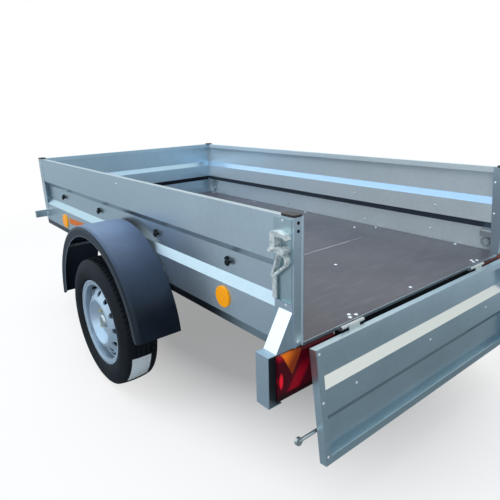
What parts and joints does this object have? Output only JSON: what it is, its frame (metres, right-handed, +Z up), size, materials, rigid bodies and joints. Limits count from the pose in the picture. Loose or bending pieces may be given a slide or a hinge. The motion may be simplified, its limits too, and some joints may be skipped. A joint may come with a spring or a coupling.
{
  "type": "utility trailer",
  "caption": "Single-axle galvanised utility trailer with folded side walls, a hanging tailgate, mudguards, a V drawbar and a jockey wheel.",
  "frame": {"origin": "on the ground at the middle of the trailer's length and width", "axes": "+X forward to the coupling, +Y to the left, +Z up"},
  "size_m": [3.4018, 1.552, 0.866],
  "materials": {
    "galvanised": "spangled hot-dip galvanised sheet",
    "dipped_steel": "dull galvanised steel",
    "zinc": "bright zinc plate",
    "plywood": "dark film-faced plywood with a mesh print",
    "black_plastic": "satin black moulding",
    "tyre_rubber": "rubber",
    "wheel_rubber": "solid rubber",
    "rim_silver": "silver paint",
    "hub_grey": "cast and painted",
    "amber": "prismatic amber reflector",
    "lamp_red": "moulded lens",
    "clear_lens": "moulded clear lens"
  },
  "bodies": {
    "chassis": {"side_wall_left": "galvanised", "side_wall_right": "galvanised", "front_wall": "galvanised", "rear_post_left": "galvanised", "rear_post_right": "galvanised", "front_post_left": "galvanised", "front_post_right": "galvanised", "rear_sill": "galvanised", "lamp_guard_left": "galvanised", "lamp_guard_right": "galvanised", "marker_brackets": "galvanised", "latch_plates": "galvanised", "cross_members": "dipped_steel", "drawbar_left": "dipped_steel", "drawbar_right": "dipped_steel", "axle_tube": "dipped_steel", "swing_arm_left": "dipped_steel", "swing_arm_right": "dipped_steel", "mudguard_stays": "dipped_steel", "hinge_fixed_leaves": "zinc", "latch_left": "zinc", "latch_right": "zinc", "tie_down_rings": "zinc", "coupling_head": "zinc", "coupling_plate": "zinc", "jockey_outer_tube": "zinc", "jockey_clamp": "zinc", "jockey_crank": "zinc", "floor_rear": "plywood", "floor_front": "plywood", "post_caps": "black_plastic", "mudguard_left": "black_plastic", "mudguard_right": "black_plastic", "rope_hooks": "black_plastic", "lamp_housing_left": "black_plastic", "lamp_housing_right": "black_plastic", "lamp_bar": "black_plastic", "coupling_lever": "black_plastic", "side_reflectors": "amber", "lamp_lenses": "lamp_red", "marker_lenses": "clear_lens"},
    "tailgate": {"tailgate_panel": "galvanised", "tailgate_rods": "zinc", "hinge_moving_leaves": "zinc"},
    "wheel_left": {"tyre_left": "tyre_rubber", "rim_left": "rim_silver", "hub_left": "hub_grey"},
    "wheel_right": {"tyre_right": "tyre_rubber", "rim_right": "rim_silver", "hub_right": "hub_grey"},
    "jockey_stem": {"jockey_inner_tube": "zinc"},
    "jockey_fork": {"jockey_fork": "zinc"},
    "jockey_wheel": {"jockey_wheel": "wheel_rubber"}
  },
  "joints": [
    {"name": "tailgate_hinge", "type": "hinge", "parent": "chassis", "child": "tailgate", "pos_m": [-1.6198, 0, 0.506], "axis": [0, 1, 0], "range_deg": [0, 172.3]},
    {"name": "wheel_left_spin", "type": "hinge", "parent": "chassis", "child": "wheel_left", "pos_m": [-0.6118, 0, 0.274], "axis": [0, 1, 0], "continuous": true},
    {"name": "wheel_right_spin", "type": "hinge", "parent": "chassis", "child": "wheel_right", "pos_m": [-0.6118, 0, 0.274], "axis": [0, 1, 0], "continuous": true},
    {"name": "jockey_lift", "type": "slide", "parent": "chassis", "child": "jockey_stem", "axis": [0, 0, 1], "range_m": [-0.1, 0.12]},
    {"name": "jockey_swivel", "type": "hinge", "parent": "jockey_stem", "child": "jockey_fork", "pos_m": [1.21437, 0.1487, 0.236], "axis": [0, 0, 1], "continuous": true},
    {"name": "jockey_spin", "type": "hinge", "parent": "jockey_fork", "child": "jockey_wheel", "pos_m": [1.18237, 0.1487, 0.1], "axis": [0, 1, 0], "continuous": true}
  ]
}
